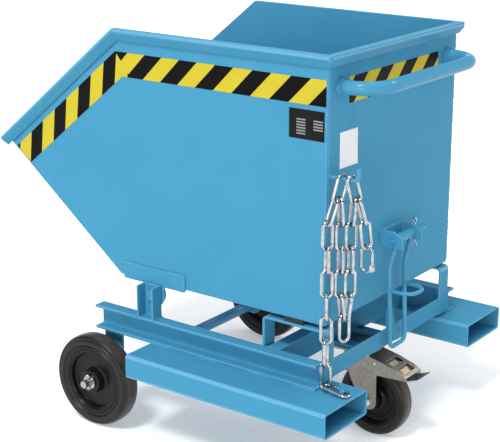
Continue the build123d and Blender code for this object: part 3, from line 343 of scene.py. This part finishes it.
# Drawn mild steel bar: grey, with fine lines round it from turning; the middle of the bar is powder coated.
axle_bar, tree, shader, place = new_finish("drawn_steel_axle")
lathe = cloud(tree, place, 4, 3.0)
across = add(tree, "ShaderNodeSeparateXYZ", {0: place}).outputs["Y"]
bare = calc(tree, "GREATER_THAN", calc(tree, "ABSOLUTE", across), PAINTED_HALF * MM)
wire(tree, shader,
     Base_Color=blend(tree, bare, "#4AA0C8", blend(tree, lathe, "#8E9092", "#C3C5C6")),
     Metallic=bare,
     Roughness=spread(tree, lathe, 0.26, 0.46))
coat_nodes(axle_bar, "front_axle")
coat_nodes(bright_zinc, "axle_washers", "axle_split_pins")

# Front wheels: solid black rubber tyres pressed over moulded dished centres that turn on roller bearings.

WHEEL_RADIUS, WHEEL_Y = 125.0, 385.5
WHEEL_STEPS = 96
WHEEL_CREASE = math.radians(38)


def eased(outline, cut):
    """A closed outline with each corner taken off by a short curve."""
    smooth_line = []
    count = len(outline)
    for k, corner in enumerate(outline):
        corner = Vector(corner)
        arms = [Vector(outline[k - 1]) - corner, Vector(outline[(k + 1) % count]) - corner]
        start, end = [corner + arm * min(0.45, cut / arm.length) for arm in arms]
        for share in (0.0, 0.33, 0.67, 1.0):
            first = start.lerp(corner, share)
            smooth_line.append(first.lerp(corner.lerp(end, share), share))
    return smooth_line


def turned(name, outline, hub):
    """A ring about an axis along Y, from (radius, height) points in millimetres."""
    shape = bmesh.new()
    rings = []
    for radius, height in outline:
        ring = []
        for step in range(WHEEL_STEPS):
            angle = 2 * math.pi * step / WHEEL_STEPS
            spot = (hub[0] + radius * math.cos(angle), hub[1] + height, hub[2] + radius * math.sin(angle))
            ring.append(shape.verts.new(Vector(spot) * MM))
        rings.append(ring)
    for ring, following in zip(rings, rings[1:] + rings[:1]):
        for step in range(WHEEL_STEPS):
            ahead = (step + 1) % WHEEL_STEPS
            face = shape.faces.new((ring[step], ring[ahead], following[ahead], following[step]))
            face.smooth = True
    bmesh.ops.recalc_face_normals(shape, faces=shape.faces)
    mesh = bpy.data.meshes.new(name)
    shape.to_mesh(mesh)
    shape.free()
    mesh.set_sharp_from_angle(angle=WHEEL_CREASE)
    return placed(name, mesh)


def wheel_part(node, half, cut, hub, body, material):
    """A turned tyre or wheel centre in the place of its CAD piece, from the outer half of its outline."""
    outline = half + [(radius, -height) for radius, height in reversed(half)]
    settle(turned(node + "_finished", eased(outline, cut), hub), body, material, [node])


# Solid black rubber: satin sidewalls with a moulding grain, and a tread dulled by brownish floor dust.
def tyre_rubber(name, hub, tread_radius):
    """Rubber for the wheels on one axle: the dust follows the distance from it."""
    material, tree, shader, place = new_finish(name, Specular_IOR_Level=0.36)
    to_axle = {"Vector": place, "Location": (-hub[0] * MM, 0.0, -hub[2] * MM)}
    parts = add(tree, "ShaderNodeSeparateXYZ", {0: add(tree, "ShaderNodeMapping", to_axle).outputs[0]})
    flat = add(tree, "ShaderNodeCombineXYZ", {0: parts.outputs["X"], 2: parts.outputs["Z"]})
    radius = add(tree, "ShaderNodeVectorMath", {0: flat.outputs[0]}, operation="LENGTH").outputs["Value"]
    tread = spread(tree, radius, 0.0, 1.0, (tread_radius - 4.0) * MM, (tread_radius - 0.5) * MM)
    dirt = cloud(tree, place, 20, 5.0)
    wall = blend(tree, dirt, "#0A0A0B", "#141313")
    wire(tree, shader,
         Base_Color=blend(tree, calc(tree, "MULTIPLY", tread, dirt), wall, "#5F544C"),
         Roughness=spread(tree, dirt, 0.26, 0.44),
         Normal=relief(tree, dirt, 0.1, 0.6))
    return material


# Moulded polypropylene, black: smooth and a little glossy, with scuffed patches.
wheel_plastic, tree, shader, place = new_finish("moulded_black_polypropylene", Specular_IOR_Level=0.2)
patches = cloud(tree, place, 30, 5.0)
wire(tree, shader,
     Base_Color=blend(tree, patches, "#0D0D0E", "#19191A"),
     Roughness=spread(tree, patches, 0.18, 0.36),
     Normal=relief(tree, patches, 0.06, 0.6))

front_tyre_half = [(88.0, 23.2), (90.5, 24.8), (93.5, 24.8), (95.0, 21.6), (98.0, 21.6), (100.0, 25.7),
                   (110.0, 25.9), (112.0, 22.8), (114.5, 22.8), (116.5, 24.4), (120.5, 22.6), (123.6, 17.0),
                   (124.9, 8.0)]
front_rim_half = [(17.0, 30.0), (28.0, 30.0), (31.0, 28.5), (33.5, 9.0), (40.0, 6.8), (68.0, 6.8),
                  (72.5, 9.0), (75.5, 20.0), (79.0, 21.8), (81.0, 24.6), (87.0, 24.6), (88.0, 23.0)]
front_rubber = tyre_rubber("solid_rubber_front_tyre", (AXLE_X + REAR_WALL, 0.0, AXLE_Z), WHEEL_RADIUS)
for side, sign in (("left", -1), ("right", 1)):
    hub = (AXLE_X + REAR_WALL, sign * WHEEL_Y, AXLE_Z)
    body = "wheel_" + side
    wheel_part("front_tyre_" + side, front_tyre_half, 2.4, hub, body, front_rubber)
    wheel_part("front_rim_" + side, front_rim_half, 1.4, hub, body, wheel_plastic)
    coat_nodes(bright_zinc, "front_bearing_" + side)

# Swivel castor: a pressed steel fork with a hood over the wheel, hung from a bolted plate by a king pin. A
# lever under the hood presses a rubber shoe on the tyre.

CASTOR_X, CASTOR_Z, CASTOR_RADIUS = -32.0, 100.0, 100.0
TRODDEN_START, TRODDEN_END = 72.0 + REAR_WALL, 80.0 + REAR_WALL      # the lever's worn end

# Passivated zinc on pressed sheet: warm grey and satin, with the drawn streaks of the press and a faint
# mottle.
castor_zinc, tree, shader, place = new_finish("passivated_zinc_pressing", Metallic=1.0)
drawn = add(tree, "ShaderNodeMapping", {"Vector": place, "Scale": (1.0, 1.0, 0.08)}).outputs[0]
streak = cloud(tree, drawn, 3, 2.0)
wire(tree, shader,
     Base_Color=blend(tree, cloud(tree, place, 11, 5.0), "#766F65", "#ADA79C"),
     Roughness=spread(tree, streak, 0.32, 0.5),
     Normal=relief(tree, streak, 0.06, 0.4))

# Yellow passivated zinc on the brake lever: a straw tint that shifts in patches, with a dark, trodden end.
lever_zinc, tree, shader, place = new_finish("yellow_zinc_lever", Metallic=1.0)
wash = cloud(tree, place, 14, 4.0)
along_lever = add(tree, "ShaderNodeSeparateXYZ", {0: place}).outputs["X"]
trodden = spread(tree, along_lever, 0.0, 1.0, TRODDEN_START * MM, TRODDEN_END * MM)
wire(tree, shader,
     Base_Color=blend(tree, trodden, blend(tree, wash, "#C7B382", "#E6DCBB"), "#77797B"),
     Roughness=spread(tree, wash, 0.28, 0.5))

# Fresh zinc plate on the axle bolt and its nut: almost white, satin, with a faint cloudiness.
fresh_zinc, tree, shader, place = new_finish("fresh_zinc_plate", Metallic=1.0)
haze = cloud(tree, place, 6, 2.0)
wire(tree, shader,
     Base_Color=blend(tree, haze, "#E4E7E9", "#F8FAFB"),
     Roughness=spread(tree, haze, 0.25, 0.4))

dress("castor_fork", 1.0, "castor_fork", castor_zinc)
dress("castor_top_plate", 0.8, "chassis", castor_zinc)
dress("castor_brake_lever", 0.6, "castor_brake", lever_zinc)
coat_nodes(fresh_zinc, "castor_axle_bolt")
coat_nodes(castor_zinc, "castor_kingpin")
coat_nodes(bright_zinc, "castor_bolts", "castor_nuts", "castor_brake_pin", "castor_bearing")
coat_nodes(buffer_rubber, "castor_brake_shoe")

castor_tyre_half = [(74.0, 20.8), (77.0, 21.6), (80.5, 20.6), (82.0, 22.4), (90.0, 22.8), (92.0, 21.2),
                    (96.5, 19.8), (98.9, 14.5), (99.0, 11.5), (97.6, 10.8), (97.6, 9.4), (99.6, 8.6),
                    (99.95, 4.0)]
castor_rim_half = [(13.0, 29.0), (20.0, 29.0), (23.0, 27.5), (26.0, 9.0), (31.0, 6.0), (45.0, 6.0),
                   (48.0, 9.5), (52.0, 9.5), (55.0, 6.4), (62.0, 6.4), (65.0, 15.0), (68.0, 17.0),
                   (69.5, 21.4), (73.0, 21.4), (74.0, 20.0)]
castor_hub = (CASTOR_X + REAR_WALL, 0.0, CASTOR_Z)
castor_rubber = tyre_rubber("solid_rubber_castor_tyre", castor_hub, CASTOR_RADIUS)
wheel_part("castor_tyre", castor_tyre_half, 1.6, castor_hub, "castor_wheel", castor_rubber)
wheel_part("castor_rim", castor_rim_half, 1.2, castor_hub, "castor_wheel", wheel_plastic)

# Bucket: side, rear and floor sheets of 3 mm steel, folded and welded, with a lip folded over all round the
# rim.

for node in ("bucket_side_left", "bucket_side_right", "bucket_rear", "bucket_floor"):
    dress(node, 0.35, "bucket", powder_coat)

# Pivots: doubling plates welded under both side sheets, with bosses that turn on bolts through the posts.

dress("pivot_plates", 0.9, "bucket", powder_coat)
dress("pivot_bosses", 0.8, "bucket", powder_coat)
coat_nodes(bar_coat, "pivot_bolts", "pivot_nuts")

# Push handle: one bent tube across the rear wall, with a collar welded on at each end.

dress("handle_collars", 0.8, "bucket", bar_coat)
coat_nodes(bar_coat, "push_handle")

# Latch: a bracket with two lugs on the rear wall, a pin with a split pin, and a bail of round bar with a pull
# grip.

dress("latch_bracket", 0.8, "bucket", powder_coat)
coat_nodes(bar_coat, "latch_bail", "latch_grip", "latch_pin")
coat_nodes(bright_zinc, "latch_split_pin")

# Safety chain: long links of welded wire hung in strands on a hook at the rear corner. One strand ends round
# a stud on the fork pocket, another in a snap hook.

coat_nodes(bright_zinc, "safety_chain", "snap_hook_body", "snap_hook_gate")
coat_nodes(bar_coat, "chain_hook", "chain_stud")

# Hazard tapes: printed vinyl strips stuck round the bucket below the rim, with slanting yellow and black
# stripes.

# Millimetres from yellow to yellow along each run of tape
LEVEL_PERIOD, SLOPE_PERIOD, REAR_PERIOD = 110.5, 115.7, 116.5
LEVEL_EDGE, SLOPE_EDGE = 41.6, 6.6           # first yellow stripes from the bend, both towards the rear
TAPE_BEND = (-642.2 + REAR_WALL, 991.0)      # upper corner of the bend, X and Z
SPOUT_SLOPE = math.radians(39)
STRIPE_SLANT = math.radians(45)
REAR_EDGE = (-189.2, 987.0)                  # end of the first yellow stripe on the rear tape, Y and Z


def along(tree, place, direction):
    """How far a place lies in a direction."""
    product = add(tree, "ShaderNodeVectorMath", {0: place, 1: direction}, operation="DOT_PRODUCT")
    return product.outputs["Value"]


def black_stripes(tree, place, across, edge, pitch):
    """1 on the black stripes, from the direction across them, the end of one of them, and their pitch."""
    start = calc(tree, "SUBTRACT", along(tree, place, across), edge * MM)
    return calc(tree, "GREATER_THAN", calc(tree, "FRACT", calc(tree, "DIVIDE", start, pitch * MM)), 0.5)


# Printed vinyl, yellow and black: satin, a little faded in patches, with a faint ripple from being stuck on.
def vinyl_tape(name, runs, bend=None):
    """A tape with one run of stripes, or with two that change where a direction passes a limit."""
    material, tree, shader, place = new_finish(name, Specular_IOR_Level=0.08)
    black, *other = [black_stripes(tree, place, *run) for run in runs]
    if bend:
        passed = calc(tree, "GREATER_THAN", along(tree, place, bend[0]), bend[1] * MM)
        black = add(tree, "ShaderNodeMix", {0: passed, 2: black, 3: other[0]}).outputs[0]
    fade = cloud(tree, place, 50, 4.0)
    wire(tree, shader,
         Base_Color=blend(tree, black, blend(tree, fade, "#C6B42C", "#D2C23C"), "#09090A"),
         Roughness=spread(tree, fade, 0.38, 0.55),
         Normal=relief(tree, fade, 0.08, 0.5))
    return material


bend = Vector((TAPE_BEND[0], 0.0, TAPE_BEND[1]))
slope_run = Vector((-math.cos(SPOUT_SLOPE), 0.0, -math.sin(SPOUT_SLOPE)))
for side, sign in (("left", 1), ("right", -1)):
    lean = sign * STRIPE_SLANT + SPOUT_SLOPE
    level_across = Vector((1.0, 0.0, -sign))
    slope_across = Vector((math.sin(lean), 0.0, -math.cos(lean)))
    level_start = level_across.dot(bend + Vector((LEVEL_EDGE, 0.0, 0.0)))
    slope_start = slope_across.dot(bend - slope_run * SLOPE_EDGE)
    runs = [(level_across, level_start, LEVEL_PERIOD),
            (slope_across, slope_start, SLOPE_PERIOD * math.sin(STRIPE_SLANT))]
    coat_nodes(vinyl_tape("hazard_tape_" + side, runs, (slope_run, slope_run.dot(bend))), "tape_" + side)
rear_run = ((0.0, 1.0, -1.0), REAR_EDGE[0] - REAR_EDGE[1] + REAR_PERIOD / 2, REAR_PERIOD)
coat_nodes(vinyl_tape("hazard_tape_rear", [rear_run]), "tape_rear")

# Type plate: a thin black printed metal plate with blank grey fields, held by four rivets.

PLATE_X, PLATE_Z = -108.0 + REAR_WALL, 847.0
FIELDS = ((21.0, 46.0, 10.5, 48.0), (68.0, 94.0, 23.5, 48.0))    # left, right, low and high on the plate
FIRST_ROW, ROW_PITCH, ROW_SHARE = 10.8, 6.7, 0.52                # rows in the fields, from the lower edge up

# Black anodised aluminium: satin black, with rows of pale fields left empty.
plate_finish, tree, shader, place = new_finish("black_anodised_plate", Roughness=0.42,
                                               Specular_IOR_Level=0.12)
to_plate = {"Vector": place, "Location": (-PLATE_X * MM, 0.0, -PLATE_Z * MM)}
from_corner = add(tree, "ShaderNodeMapping", to_plate).outputs[0]
on_plate = add(tree, "ShaderNodeSeparateXYZ", {0: from_corner}).outputs
inside = []
for left, right, low, high in FIELDS:
    across = calc(tree, "COMPARE", on_plate["X"], (left + right) / 2 * MM, (right - left) / 2 * MM)
    upward = calc(tree, "COMPARE", on_plate["Z"], (low + high) / 2 * MM, (high - low) / 2 * MM)
    inside.append(calc(tree, "MULTIPLY", across, upward))
row_place = calc(tree, "DIVIDE", calc(tree, "SUBTRACT", on_plate["Z"], FIRST_ROW * MM), ROW_PITCH * MM)
in_row = calc(tree, "LESS_THAN", calc(tree, "FRACT", row_place), ROW_SHARE)
blank = calc(tree, "MULTIPLY", in_row, calc(tree, "MAXIMUM", *inside))
ground = blend(tree, cloud(tree, place, 20, 4.0), "#0D0F11", "#171A1D")
wire(tree, shader, Base_Color=blend(tree, blank, ground, "#8F8F90"))
coat_nodes(plate_finish, "type_plate", "plate_rivets")

# Paper label: a blank sticker on the rear wall, its lower corner lifting a little.

LABEL_Y, LABEL_Z = -249.0, 774.0
LABEL_WIDTH, LABEL_HEIGHT, LABEL_THICKNESS = 77.0, 87.0, 0.12
LABEL_STEPS = 14
LABEL_GAP = 0.15              # back of the label from the wall
CORNER_LIFT, CORNER_START = 3.2, 0.25        # lift in millimetres, from this share of the diagonal on
EDGE_LIFT, EDGE_START = 0.25, 0.9            # slight curl along the upper and lower edges

# Coated white paper: matt, with the faint cloudiness of its fibres.
paper, tree, shader, place = new_finish("coated_white_paper", Roughness=0.6)
fibre = cloud(tree, place, 4, 5.0)
wire(tree, shader,
     Base_Color=blend(tree, fibre, "#E4E6EE", "#EFF1F7"),
     Normal=relief(tree, fibre, 0.1, 0.4))

sheet = bmesh.new()
grid = []
for row_step in range(LABEL_STEPS + 1):
    for column in range(LABEL_STEPS + 1):
        across = column / LABEL_STEPS
        up = row_step / LABEL_STEPS
        curl = CORNER_LIFT * max(0.0, across - up - CORNER_START) ** 2
        curl += EDGE_LIFT * max(0.0, abs(2 * up - 1) - EDGE_START)
        spot = (REAR_WALL + LABEL_GAP + curl, LABEL_Y + across * LABEL_WIDTH, LABEL_Z + up * LABEL_HEIGHT)
        grid.append(sheet.verts.new(Vector(spot) * MM))
for row_step in range(LABEL_STEPS):
    for column in range(LABEL_STEPS):
        k = row_step * (LABEL_STEPS + 1) + column
        above = k + LABEL_STEPS + 1
        sheet.faces.new((grid[k], grid[k + 1], grid[above + 1], grid[above])).smooth = True
label_mesh = bpy.data.meshes.new("paper_label_finished")
sheet.to_mesh(label_mesh)
sheet.free()
label = placed("paper_label_finished", label_mesh)
thick = label.modifiers.new("thickness", "SOLIDIFY")
thick.thickness = LABEL_THICKNESS * MM
thick.offset = 1.0
settle(label, "bucket", paper, ["paper_label"])

# Welds of the bucket: beads round the pivot plates, the handle's collars, the latch bracket and the chain
# hook, and inside along the corners of the sheets.

PIVOT_FRONT, PIVOT_REAR, PIVOT_FACE, PIVOT_LOW, PIVOT_TOP = -627.0, -427.0, 301.4, 398.0, 437.0
PIVOT_TOP_BEADS = ((-623.0, -575.0), (-480.0, -431.0))
HANDLE_Y, HANDLE_Z, COLLAR_REACH, COLLAR_RADIUS = 250.0, 970.0, 6.0, 18.0
LATCH_HALF, LATCH_LOW, LATCH_TOP = 50.0, 538.0, 577.0
HOOK_Y, HOOK_Z, HOOK_RADIUS = -289.0, 766.2, 5.5
INSIDE_Y, INSIDE_REAR, FLOOR_TOP, CORNER_TOP = 297.0, -3.5, 403.0, 1044.0
FLOOR_REAR, FLOOR_FRONT, SPOUT_END, SPOUT_TOP = -8.0, -636.0, -1020.0, 704.0


def round_bar(x, y, z, radius, steps=28):
    """A seam round a bar that stands on the rear wall."""
    turn_steps = [2 * math.pi * k / steps for k in range(steps + 1)]
    return [(x, y + radius * math.cos(a), z + radius * math.sin(a)) for a in turn_steps]


bucket_seams = both_sides([
    upright(PIVOT_FRONT, -PIVOT_FACE, PIVOT_LOW, PIVOT_TOP - 1),
    upright(PIVOT_REAR, -PIVOT_FACE, PIVOT_LOW, PIVOT_TOP - 1),
    *[lengthwise(start, end, -PIVOT_FACE, PIVOT_TOP) for start, end in PIVOT_TOP_BEADS],
    round_bar(COLLAR_REACH, -HANDLE_Y, HANDLE_Z, COLLAR_RADIUS),
    upright(1.0, -LATCH_HALF, LATCH_LOW, LATCH_TOP - 2),
    crosswise(1.0, -LATCH_HALF + 4, 0.0, LATCH_TOP),
    upright(INSIDE_REAR, -INSIDE_Y, FLOOR_TOP + 5, CORNER_TOP),
    lengthwise(FLOOR_REAR, FLOOR_FRONT, -INSIDE_Y, FLOOR_TOP) + [(SPOUT_END, -INSIDE_Y, SPOUT_TOP)],
])
bucket_seams.append(round_bar(1.0, HOOK_Y, HOOK_Z, HOOK_RADIUS, 14))
weld("bucket_welds", "bucket", bucket_seams, 11)

# Setting: a white floor, a white backdrop all round, a dim room above it with a soft light overhead, and a
# camera at head height behind the trolley. The key light comes over the camera's left shoulder, with weak
# lights from the far side and from low beside the camera.

FLOOR_HALF = 40.0             # metres
FLOOR_GLOW = 0.3
SUNS = (("key_light", (0.08, -0.54, 0.84), 1.7, 12), ("rim_light", (0.25, 0.72, 0.65), 0.45, 10),
        ("fill_light", (0.30, -0.93, 0.20), 0.65, 25))
WHITE = (1.0, 1.0, 1.0, 1.0)

floor_finish, tree, shader, place = new_finish("white_floor", Roughness=0.9, Specular_IOR_Level=0.1,
                                               Base_Color=linear("#F4F4F4"), Emission_Color=WHITE)
ray = add(tree, "ShaderNodeLightPath").outputs
seen = calc(tree, "MAXIMUM", ray["Is Camera Ray"], ray["Is Glossy Ray"])
seen = calc(tree, "MAXIMUM", seen, ray["Is Transmission Ray"])
wire(tree, shader, Emission_Strength=calc(tree, "MULTIPLY", seen, FLOOR_GLOW))
floor_mesh = bpy.data.meshes.new("floor")
floor_corners = [(x * FLOOR_HALF, y * FLOOR_HALF, 0.0) for x, y in ((-1, -1), (1, -1), (1, 1), (-1, 1))]
floor_mesh.from_pydata(floor_corners, [], [(0, 1, 2, 3)])
floor_mesh.materials.append(floor_finish)
floor = placed("floor", floor_mesh)

for name, direction, energy, softness in SUNS:
    sun = bpy.data.lights.new(name, "SUN")
    sun.energy = energy
    sun.angle = math.radians(softness)
    placed(name, sun).rotation_euler = Vector(direction).to_track_quat("Z", "Y").to_euler()

world = bpy.data.worlds.new("studio")
world.use_nodes = True
bpy.context.scene.world = world
sky = world.node_tree
background = sky.nodes["Background"]
towards = add(sky, "ShaderNodeTexCoord").outputs["Generated"]
height = add(sky, "ShaderNodeSeparateXYZ", {0: towards}).outputs["Z"]
backdrop = spread(sky, height, 1.0, 0.14, 0.22, 0.36)
overhead = spread(sky, height, 0.0, 0.85, 0.6, 0.8)
background.inputs["Color"].default_value = WHITE
sky.links.new(calc(sky, "ADD", backdrop, overhead), background.inputs["Strength"])

camera = bpy.data.cameras.new("camera")
camera.lens = 98.08
camera.sensor_width = 36.0
camera.sensor_fit = "HORIZONTAL"
viewer = placed("camera", camera)
viewer.location = (2.12136, -2.8340, 1.5899)
viewer.rotation_euler = (math.radians(90 - 17.1), 0.0, math.radians(36.4))
bpy.context.scene.camera = viewer
bpy.context.scene.view_settings.view_transform = "Standard"
